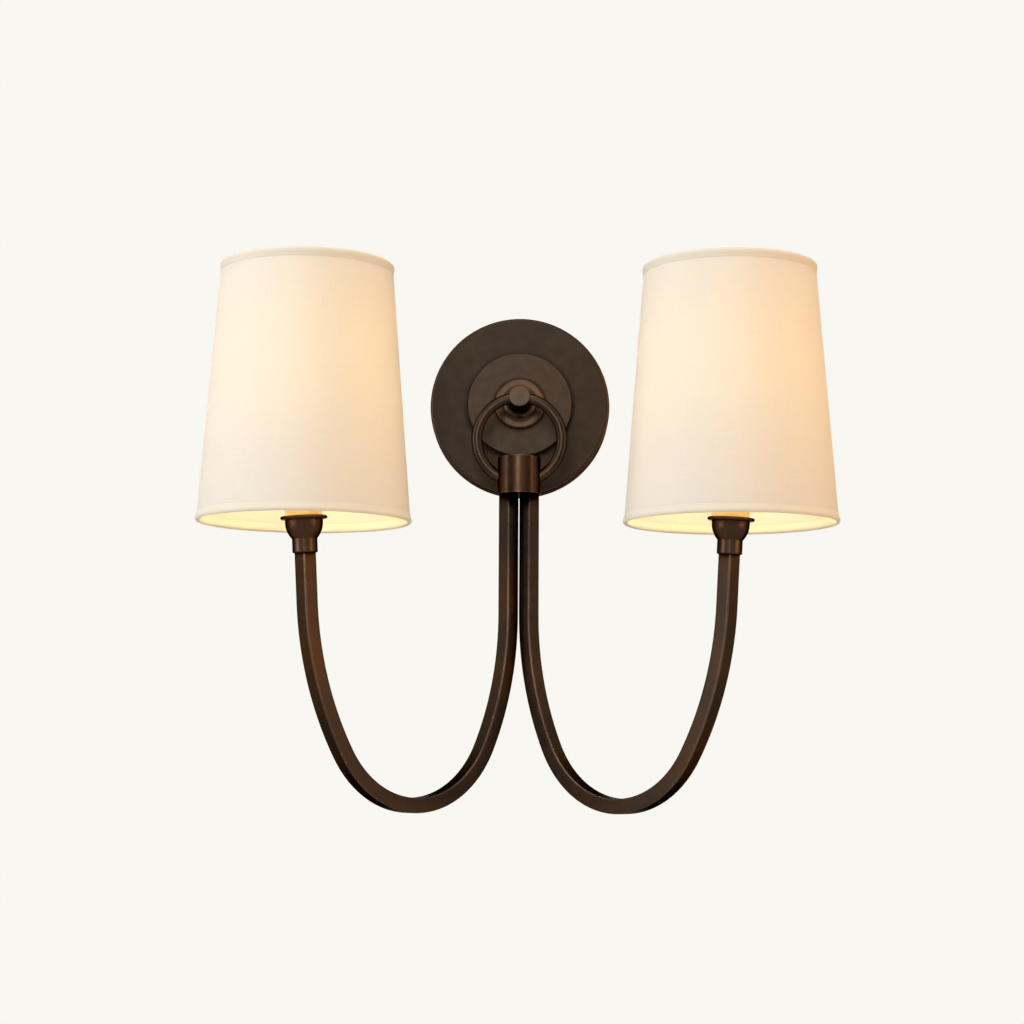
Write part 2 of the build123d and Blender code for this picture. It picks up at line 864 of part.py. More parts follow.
        leaf = skin_thickness / 2 + hem_leaf
        with BuildSketch(upright) as section:
            with BuildLine():
                Line(at(hem_height, -leaf), at(wire_ring_inset, -wire_ring_inset))
                ThreePointArc(
                    at(wire_ring_inset, -wire_ring_inset), at(0, 0), at(wire_ring_inset, wire_ring_inset)
                )
                Polyline(
                    at(wire_ring_inset, wire_ring_inset), at(hem_height, leaf), at(hem_height, -leaf)
                )
            make_face()
            with BuildLine():
                Polyline(
                    at(skin_end, skin_thickness / 2),
                    at(2 * hem_height, skin_thickness / 2),
                    at(2 * hem_height, -skin_thickness / 2),
                    at(skin_end, -skin_thickness / 2),
                    close=True,
                )
            make_face(mode=Mode.SUBTRACT)
            with Locations(at(wire_ring_inset, 0)):
                Circle(frame_wire + slip, mode=Mode.SUBTRACT)
        return section.sketch

    top_wire_radius, top_wire_height = slant(slant_length - wire_ring_inset, 0)

    def frame_arms(radius):
        """The three wires from the top ring in and down to the hub."""
        with BuildPart() as arms:
            for angle in frame_arm_angles:
                ray = Plane(
                    origin=upright.origin,
                    x_dir=(cos(radians(angle)), sin(radians(angle)), 0),
                    z_dir=(sin(radians(angle)), -cos(radians(angle)), 0),
                )
                with BuildLine(ray) as route:
                    FilletPolyline(
                        (top_wire_radius, top_wire_height),
                        (top_wire_radius - frame_arm_shelf, top_wire_height),
                        (frame_arm_run, hub_height),
                        ((ball_radius + hub_radius) / 2, hub_height),
                        radius=frame_arm_bend,
                    )
                with BuildSketch(Plane(route.line @ 0, z_dir=route.line % 0)):
                    Circle(radius)
                sweep()
        return arms.part

    with BuildPart() as shade_top_hem:
        revolve(hem_section(slant_length, -1), axis=axis_up(upright))
        add(frame_arms(frame_wire + slip), mode=Mode.SUBTRACT)
    save(shade_top_hem, f"shade_top_hem_{name}")

    with BuildPart() as shade_bottom_hem:
        revolve(hem_section(0, 1), axis=axis_up(upright))
    save(shade_bottom_hem, f"shade_bottom_hem_{name}")

    with BuildPart() as shade_top_frame:
        with BuildSketch(upright):
            with Locations((top_wire_radius, top_wire_height)):
                Circle(frame_wire)
        revolve(axis=axis_up(upright))
        add(frame_arms(frame_wire))
        with BuildSketch(level(side, hub_height - hub_thickness / 2)):
            Circle(hub_radius)
        extrude(amount=hub_thickness)
        with Locations(Location(level(side, hub_height))):
            Sphere(ball_radius + running, mode=Mode.SUBTRACT)
    save(shade_top_frame, f"shade_top_frame_{name}")

    with BuildPart() as shade_bottom_ring:
        with BuildSketch(upright):
            with Locations(slant(wire_ring_inset, 0)):
                Circle(frame_wire)
        revolve(axis=axis_up(upright))
    save(shade_bottom_ring, f"shade_bottom_ring_{name}")

    # ------------------------------------------------------------ wires
    # Each wire runs unbroken from its connector, out through the stem and the post,
    # round its half of the ring, down into the collar and along the arm to the socket.
    with BuildPart() as wires:
        for lane in (-1, 1):
            lane_radius = ring_radius + lane * pair_in_ring
            first_angle = degrees(asin((ring_end_in_post + wire_straight_in_post) / lane_radius))
            last_angle = 180 - ring_collar_angle
            enter = ring_point(side, lane_radius, first_angle)
            leave = ring_point(side, lane_radius, last_angle)
            post_x = side * pair_in_post
            post_z = enter[2] + abs(enter[0] - post_x) * tan(radians(first_angle))
            drop_x = in_space(side, inner_start, lane * pair_in_arm)[0]
            drop_z = leave[2] - abs(leave[0] - drop_x) * tan(radians(ring_collar_angle))
            with BuildLine() as route:
                FilletPolyline(
                    (post_x, -wire_reach_in_canopy, lane * (connector_start + wire_in_connector)),
                    (post_x, -wire_reach_in_canopy, post_z),
                    (post_x, -ring_reach, post_z),
                    enter,
                    radius=post_wire_bend,
                )
                ThreePointArc(
                    enter, ring_point(side, lane_radius, (first_angle + last_angle) / 2), leave
                )
                FilletPolyline(
                    leave,
                    (drop_x, -ring_reach, drop_z),
                    in_space(side, inner_start, lane * pair_in_arm),
                    radius=collar_wire_bend,
                )
                for first, middle, last in (
                    (inner_start, inner_middle, inner_end),
                    (inner_end, bottom_middle, bottom_end),
                    (bottom_end, outer_middle, outer_end),
                ):
                    ThreePointArc(
                        *(in_space(side, point, lane * pair_in_arm) for point in (first, middle, last))
                    )
                FilletPolyline(
                    in_space(side, outer_end, lane * pair_in_arm),
                    in_space(side, (candle_across, flange_height), lane * pair_in_arm),
                    in_space(side, (candle_across, socket_bottom), lane * pair_in_arm),
                    radius=socket_wire_bend,
                )
            with BuildSketch(Plane(route.line @ 0, z_dir=route.line % 0)):
                Circle(wire_radius)
            sweep()
    save(wires, f"wires_{name}")
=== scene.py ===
import json
from math import cos, degrees, hypot, pi, radians, sin, tan

import bmesh
import bpy
from mathutils import Matrix, Vector, noise


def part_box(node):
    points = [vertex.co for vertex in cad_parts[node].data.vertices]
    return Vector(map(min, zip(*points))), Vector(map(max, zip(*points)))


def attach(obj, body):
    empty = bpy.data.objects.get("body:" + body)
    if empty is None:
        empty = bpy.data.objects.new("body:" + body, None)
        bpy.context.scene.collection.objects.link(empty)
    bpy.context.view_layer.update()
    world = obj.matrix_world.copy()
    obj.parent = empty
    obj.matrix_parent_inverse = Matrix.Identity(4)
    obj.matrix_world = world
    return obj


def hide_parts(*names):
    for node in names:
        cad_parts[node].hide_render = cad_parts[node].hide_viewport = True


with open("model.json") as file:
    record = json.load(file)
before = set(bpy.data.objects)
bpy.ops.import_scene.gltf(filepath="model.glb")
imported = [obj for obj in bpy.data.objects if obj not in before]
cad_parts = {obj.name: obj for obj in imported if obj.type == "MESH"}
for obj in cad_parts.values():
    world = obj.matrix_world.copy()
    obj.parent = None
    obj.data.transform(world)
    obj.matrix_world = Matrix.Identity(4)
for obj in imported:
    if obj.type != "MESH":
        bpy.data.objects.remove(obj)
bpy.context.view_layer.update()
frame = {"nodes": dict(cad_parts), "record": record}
scene = bpy.context.scene
SIDES = {"left": -1, "right": 1}

# ---------------------------------------------------------------- sizes, in metres
MM = 0.001
CENTRE = (0.0, 0.0, 0.0)
RING_REACH = 54.9 * MM
COLLAR_TOP = -39.5 * MM
COLLAR_BOTTOM = -64.0 * MM

ARM_SIDE = 9.5 * MM
ARM_EDGE = 0.8 * MM
ARM_BORE = 6.5 * MM
ARM_BORE_EDGE = 0.5 * MM
ARM_GAP = 0.6 * MM
ARM_SPLAY = radians(45)
ARM_DROP = 79.0 * MM
ARM_BENDS = ((185.0 * MM, radians(27.7)), (67.6 * MM, radians(119.3)), (189.0 * MM, radians(29.0)))
ARM_LEAN = radians(4)
ARM_END = -107.1 * MM
ARM_TURN = cos(ARM_SPLAY) + sin(ARM_SPLAY)
ARM_X = (ARM_SIDE / 2 - ARM_EDGE) * ARM_TURN + ARM_EDGE + ARM_GAP / 2
ARM_WEAR_FADE = 0.7 * MM

SHADE_BOTTOM = -96.2 * MM
SHADE_TOP = 60.5 * MM
SHADE_BOTTOM_RADIUS = 65.1 * MM
SHADE_TOP_RADIUS = 52.8 * MM
SHADE_MIDDLE_RADIUS = (SHADE_TOP_RADIUS + SHADE_BOTTOM_RADIUS) / 2
SKIN_THICKNESS = 1.0 * MM
FRAME_WIRE = 1.1 * MM
HEM_WRAP = 0.5 * MM
HEM_HEIGHT = 5.4 * MM
HEM_LEAF = 0.13 * MM
HEM_TIP = 0.05 * MM
HEM_SWELL = 1.32 * MM
HEM_GAP = 0.02 * MM
HEM_FOLD_GAP = 0.1 * MM
HEM_MOUTH = pi / 3
WIRE_INSET = FRAME_WIRE + HEM_WRAP
SKIN_END = WIRE_INSET + FRAME_WIRE
SLANT_LENGTH = hypot(SHADE_TOP - SHADE_BOTTOM, SHADE_BOTTOM_RADIUS - SHADE_TOP_RADIUS)
SLANT_RISE = (SHADE_TOP - SHADE_BOTTOM) / SLANT_LENGTH
SLANT_RUN = (SHADE_TOP_RADIUS - SHADE_BOTTOM_RADIUS) / SLANT_LENGTH

SEAM_HALF = 4.0 * MM
SEAM_STEP = 0.25 * MM
SEAM_LIP = 0.12 * MM
SEAM_ANGLE = SEAM_HALF / SHADE_MIDDLE_RADIUS
LIP_ANGLE = SEAM_LIP / SHADE_MIDDLE_RADIUS
RIPPLE_SCALE = 55.0
RIPPLE_DEPTH = 0.05 * MM
RIPPLE_SHIFT = 7.0
DRIFT_SCALE = 90.0
DRIFT_DEPTH = 0.10 * MM

# How finely the pieces made here are divided; the bend's step is in degrees.
ARM_DROP_STEPS = 6
ARM_BEND_STEP = 1.6
ARM_BEND_LEAST_STEPS = 8
ARM_END_STEPS = 3
ARM_EDGE_STEPS = 4
ARM_BORE_EDGE_STEPS = 2
SKIN_COLUMNS = 240
SKIN_ROWS = 44
HEM_SWELL_STEPS = 8
HEM_ROUND_STEPS = 12


def shade_centre(name):
    """The upright axis of one candle, from the CAD skin's own box."""
    low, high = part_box(f"shade_skin_{name}")
    return (low.x + high.x) / 2, (low.y + high.y) / 2


def slant(along, out):
    """Radius and height at a place along the shade's slope and out from its middle."""
    return (
        SHADE_BOTTOM_RADIUS - WIRE_INSET + along * SLANT_RUN + out * SLANT_RISE,
        SHADE_BOTTOM + along * SLANT_RISE - out * SLANT_RUN,
    )


# ---------------------------------------------------------------- camera
CAMERA_PLACE = Vector((12.4, -1503.8, -239.6)) * MM
CAMERA_PITCH = radians(6.45)
CAMERA_YAW = radians(-0.67)
CAMERA_ROLL = radians(0.29)
SENSOR_WIDTH = 36.0
FOCAL_PIXELS = 2231.75
PHOTO_PIXELS = 1024
CLIP_START = 0.05
CLIP_END = 50.0

camera_data = bpy.data.cameras.new("camera")
camera_data.sensor_width = SENSOR_WIDTH
camera_data.lens = FOCAL_PIXELS / PHOTO_PIXELS * SENSOR_WIDTH
camera_data.clip_start = CLIP_START
camera_data.clip_end = CLIP_END
camera = bpy.data.objects.new("camera", camera_data)
scene.collection.objects.link(camera)
ahead = Vector(
    (
        sin(CAMERA_YAW) * cos(CAMERA_PITCH),
        cos(CAMERA_YAW) * cos(CAMERA_PITCH),
        sin(CAMERA_PITCH),
    )
)
level_right = Vector((cos(CAMERA_YAW), -sin(CAMERA_YAW), 0))
level_up = level_right.cross(ahead)
right = level_right * cos(CAMERA_ROLL) + level_up * sin(CAMERA_ROLL)
up = level_up * cos(CAMERA_ROLL) - level_right * sin(CAMERA_ROLL)
facing = Matrix((right, up, -ahead)).transposed().to_4x4()
camera.matrix_world = Matrix.Translation(CAMERA_PLACE) @ facing
scene.camera = camera


# ---------------------------------------------------------------- material kit
class Nodes:
    """Short calls that add nodes to one material or world."""

    def __init__(self, tree):
        self.tree = tree

    def add(self, kind, **settings):
        node = self.tree.nodes.new(kind)
        for key, value in settings.items():
            setattr(node, key, value)
        return node

    def put(self, socket, value):
        """Link a socket, or set its value; a colour of three gets its alpha."""
        if isinstance(value, bpy.types.NodeSocket):
            self.tree.links.new(value, socket)
        elif isinstance(value, tuple) and len(value) == 3 and socket.type == "RGBA":
            socket.default_value = (*value, 1.0)
        else:
            socket.default_value = value

    def math(self, operation, *values):
        node = self.add("ShaderNodeMath", operation=operation)
        for socket, value in zip(node.inputs, values):
            self.put(socket, value)
        return node.outputs[0]

    def hypot(self, x, y):
        squares = self.math("ADD", self.math("POWER", x, 2.0), self.math("POWER", y, 2.0))
        return self.math("SQRT", squares)

    def vector(self, operation, *values, scale=None):
        node = self.add("ShaderNodeVectorMath", operation=operation)
        for socket, value in zip(node.inputs, values):
            self.put(socket, value)
        if scale is not None:
            self.put(node.inputs["Scale"], scale)
        return node.outputs["Value" if operation == "LENGTH" else "Vector"]

    def mix(self, share, first, second):
        node = self.add("ShaderNodeMix", data_type="RGBA")
        self.put(node.inputs["Factor"], share)
        self.put(node.inputs["A"], first)
        self.put(node.inputs["B"], second)
        return node.outputs["Result"]

    def ramp(self, value, low, high, first=0.0, last=1.0):
        """A smooth step from first to last while the value goes from low to high."""
        node = self.add("ShaderNodeMapRange", interpolation_type="SMOOTHSTEP")
        for key, number in (
            ("Value", value),
            ("From Min", low),
            ("From Max", high),
            ("To Min", first),
            ("To Max", last),
        ):
            self.put(node.inputs[key], number)
        return node.outputs["Result"]

    def place(self):
        return self.add("ShaderNodeTexCoord").outputs["Object"]

    def stretch(self, vector, scale):
        node = self.add("ShaderNodeMapping")
        self.put(node.inputs["Vector"], vector)
        node.inputs["Scale"].default_value = scale
        return node.outputs[0]

    def noise(self, vector, scale, detail=2.0, rough=0.5):
        node = self.add("ShaderNodeTexNoise")
        self.put(node.inputs["Vector"], vector)
        self.put(node.inputs["Scale"], scale)
        node.inputs["Detail"].default_value = detail
        node.inputs["Roughness"].default_value = rough
        return node.outputs[0]

    def split(self, vector):
        node = self.add("ShaderNodeSeparateXYZ")
        self.put(node.inputs[0], vector)
        return node.outputs

    def join(self, x, y, z):
        node = self.add("ShaderNodeCombineXYZ")
        for socket, value in zip(node.inputs, (x, y, z)):
            self.put(socket, value)
        return node.outputs[0]

    def bump(self, height, strength, distance):
        node = self.add("ShaderNodeBump")
        self.put(node.inputs["Height"], height)
        node.inputs["Strength"].default_value = strength
        node.inputs["Distance"].default_value = distance
        return node.outputs[0]

    def surface(self, share, first, second):
        """Two shaders mixed on the material's surface."""
        node = self.add("ShaderNodeMixShader")
        self.put(node.inputs["Fac"], share)
        self.put(node.inputs[1], first)
        self.put(node.inputs[2], second)
        self.put(self.tree.nodes["Material Output"].inputs["Surface"], node.outputs[0])


def material(name):
    """A new node material with its principled shader."""
    made = bpy.data.materials.new(name)
    made.use_nodes = True
    return made, Nodes(made.node_tree), made.node_tree.nodes["Principled BSDF"]


def edge_ring(kit, place, axis, centre, radius, at, width):
    """One on a circular edge, falling to nothing within a width of it."""
    parts = kit.split(kit.vector("SUBTRACT", place, centre))
    reach = kit.hypot(*(parts[i] for i in range(3) if i != axis))
    off_radius = kit.math("SUBTRACT", reach, radius)
    off_height = kit.math("SUBTRACT", parts[axis], at)
    return kit.ramp(kit.hypot(off_radius, off_height), 0.0, width, 1.0, 0.0)


# ---------------------------------------------------------------- bronze
PATINA = (0.045, 0.0315, 0.0225)
PATINA_WARM = (0.054, 0.032, 0.0195)
PATINA_DARK = (0.030, 0.0205, 0.0145)
COPPER = (0.18, 0.076, 0.034)
# Pale wear on the arms' corners, which is also a painted highlight along them.
PALE_WEAR_AND_HIGHLIGHT = (0.125, 0.094, 0.074)
GRAZING_TINT = (0.10, 0.065, 0.045)
# Dark patina and painted contact shade, for the hollows where one part stands on another.
RECESS_PATINA_AND_SHADE = (0.012, 0.0085, 0.0065)
RUBBED_RED = (0.082, 0.038, 0.018)

# A noise's settings are its scale, detail and roughness; a range is where it takes effect.
CLOUDS = (24.0, 3.0, 0.5)
CLOUD_RANGE = (0.35, 0.68)
CLOUD_WEAR_RANGE = (0.30, 0.66)
BLOTS = (150.0, 3.0, 0.6)
BLOT_RANGE = (0.52, 0.78)
BLOT_SHARE = 0.08
FINE_GRAIN = (1500.0, 3.0, 0.6)
FINE_STRETCH = (1.0, 1.0, 0.12)
FLECKS = (420.0, 3.0, 0.65)
FLECK_RANGE = (0.64, 0.76)
FLECK_SHARE = 0.03
MIDDLE_RANGE = (0.3, 0.7)
RECESS_PATINA_AND_SHADE_SHARE = 0.85
LEAST_WEAR = 0.35
WEAR_POLISH = -0.08
SMOOTHER, ROUGHER = 0.03, 0.04
FINE_HEIGHT, BLOT_HEIGHT = 0.6, 0.5
BRONZE_BUMP = (0.05, 0.0002)
CORNER_WEAR_AND_HIGHLIGHT = "edge"


def bronze(
    name,
    rings=(),
    recesses=(),
    wear_and_highlight_attribute=None,
    tint=1.0,
    rough=0.40,
    worn=COPPER,
    worn_share=0.6,
    warmer=PATINA_WARM,
    warm_share=0.35,
):
    """Oil-rubbed bronze: satin patina, with dark patina and painted contact shade in its hollows, and
    worn on its edges, some of that wear being a painted glint or highlight.
    """
    made, kit, shader = material(name)
    place = kit.place()
    clouds = kit.noise(place, *CLOUDS)
    blots = kit.noise(place, *BLOTS)
    fine = kit.noise(kit.stretch(place, FINE_STRETCH), *FINE_GRAIN)
    patina, warm, dark = (tuple(c * tint for c in tone) for tone in (PATINA, warmer, PATINA_DARK))
    colour = kit.mix(kit.ramp(clouds, *CLOUD_RANGE, 0.0, warm_share), patina, warm)
    colour = kit.mix(kit.ramp(blots, *BLOT_RANGE, 0.0, BLOT_SHARE), colour, dark)
    # Round where one part stands on another: dark patina and painted contact shade.
    for recess in recesses:
        shaded = kit.math("MULTIPLY", edge_ring(kit, place, *recess), RECESS_PATINA_AND_SHADE_SHARE)
        colour = kit.mix(shaded, colour, RECESS_PATINA_AND_SHADE)
    wear = kit.ramp(kit.noise(place, *FLECKS), *FLECK_RANGE, 0.0, FLECK_SHARE)
    edges = [edge_ring(kit, place, *ring) for ring in rings]
    # On the arms, the corners' wear also carries a painted pale highlight.
    if wear_and_highlight_attribute:
        edges.append(kit.add("ShaderNodeAttribute", attribute_name=wear_and_highlight_attribute).outputs["Fac"])
    for edge in edges:
        uneven = kit.ramp(clouds, *CLOUD_WEAR_RANGE, LEAST_WEAR * worn_share, worn_share)
        wear = kit.math("MAXIMUM", wear, kit.math("MULTIPLY", edge, uneven))
    kit.put(shader.inputs["Base Color"], kit.mix(wear, colour, worn))
    shader.inputs["Metallic"].default_value = 1.0
    shader.inputs["Specular Tint"].default_value = (*GRAZING_TINT, 1.0)
    blotted = kit.ramp(blots, *MIDDLE_RANGE, rough - SMOOTHER, rough + ROUGHER)
    polished = kit.math("MULTIPLY", wear, WEAR_POLISH)
    kit.put(shader.inputs["Roughness"], kit.math("ADD", blotted, polished))
    height = kit.math(
        "ADD", kit.math("MULTIPLY", fine, FINE_HEIGHT), kit.math("MULTIPLY", blots, BLOT_HEIGHT)
    )
    kit.put(shader.inputs["Normal"], kit.bump(height, *BRONZE_BUMP))
    return made


FLANGE_LOWER = 0.6 * MM
FLANGE_WEAR_AND_GLINT_WIDTH = 1.8 * MM


# Copper on the cups' flange edges: wear, and a painted glint of the light from the shade above.
def flange_wear_and_glint(name):
    """The ring at the edge of one cup's flange, for its copper wear and a painted glint of the lit
    shade's light.
    """
    low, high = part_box(f"cup_{name}")
    centre = ((low.x + high.x) / 2, (low.y + high.y) / 2, 0.0)
    return 2, centre, (high.x - low.x) / 2, high.z - FLANGE_LOWER, FLANGE_WEAR_AND_GLINT_WIDTH


# A ring is its axis, centre, radius, place on the axis and width.
COLLAR_CENTRE = (0.0, -RING_REACH, 0.0)
CANOPY_EDGE = (1, CENTRE, 59.6 * MM, -17.3 * MM, 0.9 * MM)
# The recess rings take dark patina and painted contact shade: round the disc's, the boss's and the
# post's feet.
CANOPY_RECESS = (1, CENTRE, 34.6 * MM, -18.0 * MM, 4.5 * MM)
DISC_EDGE = (1, CENTRE, 34.5 * MM, -26.6 * MM, 0.6 * MM)
DISC_RECESS = (1, CENTRE, 16.7 * MM, -26.7 * MM, 2.8 * MM)
BOSS_EDGE = (1, CENTRE, 16.4 * MM, -29.8 * MM, 0.6 * MM)
BOSS_RECESS = (1, CENTRE, 7.0 * MM, -30.1 * MM, 1.6 * MM)
CAP_EDGE = (1, CENTRE, 6.7 * MM, -62.1 * MM, 0.7 * MM)
COLLAR_TOP_EDGE = (2, COLLAR_CENTRE, 13.8 * MM, COLLAR_TOP - 0.2 * MM, 0.7 * MM)
COLLAR_BOTTOM_EDGE = (2, COLLAR_CENTRE, 14.0 * MM, COLLAR_BOTTOM, 0.7 * MM)
FLANGE_WEAR_AND_GLINT_RINGS = [flange_wear_and_glint(side_name) for side_name in SIDES]

BRONZES = {
    "canopy_bronze": dict(
        rings=[CANOPY_EDGE],
        recesses=[CANOPY_RECESS],
        tint=0.71,
        rough=0.46,
        worn_share=0.42,
    ),
    "disc_bronze": dict(
        rings=[DISC_EDGE],
        recesses=[DISC_RECESS],
        tint=0.98,
        rough=0.46,
        worn_share=0.35,
    ),
    "turned_bronze": dict(
        rings=[BOSS_EDGE, CAP_EDGE, COLLAR_TOP_EDGE, COLLAR_BOTTOM_EDGE, *FLANGE_WEAR_AND_GLINT_RINGS],
        recesses=[BOSS_RECESS],
        tint=0.82,
        rough=0.30,
        worn_share=0.75,
        warmer=RUBBED_RED,
        warm_share=0.55,
    ),
    "arm_bronze": dict(
        wear_and_highlight_attribute=CORNER_WEAR_AND_HIGHLIGHT,
        tint=0.76,
        rough=0.31,
        worn=PALE_WEAR_AND_HIGHLIGHT,
        worn_share=0.8,
        warmer=RUBBED_RED,
        warm_share=0.7,
    ),
}

# ---------------------------------------------------------------- small parts and lamps' glass
SPOT_DETAIL = (3.0, 0.6)
ROUGH_SPREAD = 0.06
PLAIN_BUMP = (0.08, 0.0002)


def plain(name, colour, metallic, rough, scale=400.0, vary=0.12):
    """A small part's finish: its colour with a little variation and surface grain."""
    made, kit, shader = material(name)
    spots = kit.noise(kit.place(), scale, *SPOT_DETAIL)
    shade = kit.ramp(spots, *MIDDLE_RANGE, 1.0 - vary, 1.0 + vary)
    kit.put(shader.inputs["Base Color"], kit.vector("SCALE", kit.join(*colour), scale=shade))
    shader.inputs["Metallic"].default_value = metallic
    uneven = kit.ramp(spots, *MIDDLE_RANGE, rough - ROUGH_SPREAD, rough + ROUGH_SPREAD)
    kit.put(shader.inputs["Roughness"], uneven)
    kit.put(shader.inputs["Normal"], kit.bump(spots, *PLAIN_BUMP))
    return made


# Each finish's colour, metallic share and roughness; then its variation's scale and amount.
PLAINS = {
    "plated_steel": ((0.60, 0.61, 0.60), 1.0, 0.34, 900.0, 0.06),
    "ground_green": ((0.03, 0.24, 0.09), 0.6, 0.32),
    "brass": ((0.72, 0.52, 0.22), 1.0, 0.30, 500.0, 0.08),
    "connector_orange": ((0.80, 0.28, 0.05), 0.0, 0.42),
    "wire_jacket": ((0.78, 0.76, 0.70), 0.0, 0.38),
    "socket_phenolic": ((0.05, 0.04, 0.035), 0.0, 0.40),
    "candle_ivory": ((0.92, 0.64, 0.25), 0.0, 0.48, 120.0, 0.05),
    "lamp_brass": ((0.80, 0.66, 0.38), 1.0, 0.26, 600.0, 0.06),
    "lamp_insulator": ((0.04, 0.035, 0.035), 0.0, 0.20),
    "lamp_solder": ((0.66, 0.66, 0.66), 1.0, 0.38),
    "clip_spring": ((0.70, 0.64, 0.50), 1.0, 0.28),
    "frame_wire": ((0.80, 0.72, 0.58), 0.0, 0.40),
}


def glowing(name, colour, light, strength):
    """A finish that gives light of its own."""
    made, kit, shader = material(name)
    shader.inputs["Base Color"].default_value = (*colour, 1.0)
    shader.inputs["Emission Color"].default_value = (*light, 1.0)
    shader.inputs["Emission Strength"].default_value = strength
    return made, kit, shader


GLASS_COLOUR = (0.95, 0.90, 0.80)
GLASS_ROUGH = 0.32
FROST_SCALE = 700.0
FROST_BUMP = (0.05, 0.0001)
BULB_COLOUR = (1.0, 0.88, 0.63)
BULB_STRENGTH = 18.5
FILAMENT_COLOUR = (0.9, 0.8, 0.6)
FILAMENT_LIGHT = (1.0, 0.72, 0.40)
FILAMENT_STRENGTH = 2.0


def frosted_glass(name):
    """The bulb's glass, lit from inside."""
    made, kit, shader = glowing(name, GLASS_COLOUR, BULB_COLOUR, BULB_STRENGTH)
    shader.inputs["Roughness"].default_value = GLASS_ROUGH
    frost = kit.noise(kit.place(), FROST_SCALE, *SPOT_DETAIL)
    kit.put(shader.inputs["Normal"], kit.bump(frost, *FROST_BUMP))
    return made


# ---------------------------------------------------------------- linen
THREAD = 0.42 * MM
WOBBLE = (260.0, 2.0)
WOBBLE_SHIFT = 0.9
OVER_RANGE = (-0.3, 0.3)
SLUB_STRETCH = (1400.0, 45.0)
SLUB_RANGE = (0.60, 0.80)
SLUB_DETAIL = 2.0
SLUB_SHADE = -0.055
SLUB_HEIGHT = 1.2
STREAK_STRETCH = (900.0, 70.0)
STREAK_RANGE = (0.35, 0.65)
STREAK_DETAIL = 3.0
STREAK_SHADE = 0.005
THREAD_SHADE = 0.93
LINEN_ROUGH = 0.85
LINEN_SPECULAR = 0.25
LINEN_SHEEN = 0.15
LINEN_SHEEN_ROUGH = 0.5
LINEN_BUMP = (0.35, 0.00012)
GLOW_SHARE = 0.20


def cone_place(kit, name):
    """Round and up on the shade, in metres, for its weave."""
    x, y = shade_centre(name)
    local = kit.split(kit.vector("SUBTRACT", kit.place(), (x, y, 0)))
    angle = kit.math("ARCTAN2", local[1], local[0])
    return kit.math("MULTIPLY", angle, SHADE_MIDDLE_RADIUS), local[2]


def weave(kit, round_it, up_it):
    """Height of a plain weave, from nought to one."""
    wobble = kit.noise(kit.join(round_it, up_it, 0.0), *WOBBLE)
    shift = kit.math("MULTIPLY", kit.math("SUBTRACT", wobble, 0.5), THREAD * WOBBLE_SHIFT)
    across = kit.math("MULTIPLY", kit.math("ADD", round_it, shift), pi / THREAD)
    along = kit.math("MULTIPLY", kit.math("ADD", up_it, shift), pi / THREAD)
    warp = kit.math("ABSOLUTE", kit.math("SINE", across))
    weft = kit.math("ABSOLUTE", kit.math("SINE", along))
    over_across = kit.math("SINE", kit.math("ADD", across, pi / 2))
    over_along = kit.math("SINE", kit.math("ADD", along, pi / 2))
    pick = kit.ramp(kit.math("MULTIPLY", over_across, over_along), *OVER_RANGE)
    on_warp = kit.math("MULTIPLY", warp, pick)
    on_weft = kit.math("MULTIPLY", weft, kit.math("SUBTRACT", 1.0, pick))
    return kit.math("ADD", on_warp, on_weft)


def crossed(kit, spot, stretch, detail):
    """Two noises drawn out along the threads: one upright and one level."""
    across, along = stretch
    upright = kit.noise(kit.stretch(spot, (across, along, 1.0)), 1.0, detail)
    level = kit.noise(kit.stretch(spot, (along, across, 1.0)), 1.0, detail)
    return upright, level


def linen(name, side_name, colour, through):
    """Linen that lets lamplight through: plain weave with slubs, and a soft sheen."""
    made, kit, shader = material(name)
    round_it, up_it = cone_place(kit, side_name)
    spot = kit.join(round_it, up_it, 0.0)
    threads = weave(kit, round_it, up_it)
    slub_up, slub_round = crossed(kit, spot, SLUB_STRETCH, SLUB_DETAIL)
    slubs = kit.math("MAXIMUM", kit.ramp(slub_up, *SLUB_RANGE), kit.ramp(slub_round, *SLUB_RANGE))
    streaks_up, streaks_round = crossed(kit, spot, STREAK_STRETCH, STREAK_DETAIL)
    streaks = kit.math("MULTIPLY", kit.math("ADD", streaks_up, streaks_round), 0.5)
    thread_tone = kit.ramp(threads, 0.0, 1.0, THREAD_SHADE, 1.0)
    slubbed = kit.math("ADD", thread_tone, kit.math("MULTIPLY", slubs, SLUB_SHADE))
    streak_tone = kit.ramp(streaks, *STREAK_RANGE, -STREAK_SHADE, STREAK_SHADE)
    tone = kit.math("ADD", slubbed, streak_tone)
    kit.put(shader.inputs["Base Color"], kit.vector("SCALE", kit.join(*colour), scale=tone))
    shader.inputs["Roughness"].default_value = LINEN_ROUGH
    shader.inputs["Specular IOR Level"].default_value = LINEN_SPECULAR
    shader.inputs["Sheen Weight"].default_value = LINEN_SHEEN
    shader.inputs["Sheen Roughness"].default_value = LINEN_SHEEN_ROUGH
    height = kit.math("ADD", threads, kit.math("MULTIPLY", slubs, SLUB_HEIGHT))
    normal = kit.bump(height, *LINEN_BUMP)
    kit.put(shader.inputs["Normal"], normal)
    glow = kit.add("ShaderNodeBsdfTranslucent")
    kit.put(glow.inputs["Color"], kit.vector("SCALE", kit.join(*through), scale=tone))
    kit.put(glow.inputs["Normal"], normal)
    kit.surface(GLOW_SHARE, shader.outputs[0], glow.outputs[0])
    return made


# Each cloth's own colour, and its colour for the light that comes through.
LINENS = {
    "linen_shade": ((0.91, 0.85, 0.735), (0.80, 0.70, 0.46)),
    "linen_hem": ((0.93, 0.865, 0.71), (0.95, 0.80, 0.52)),
}

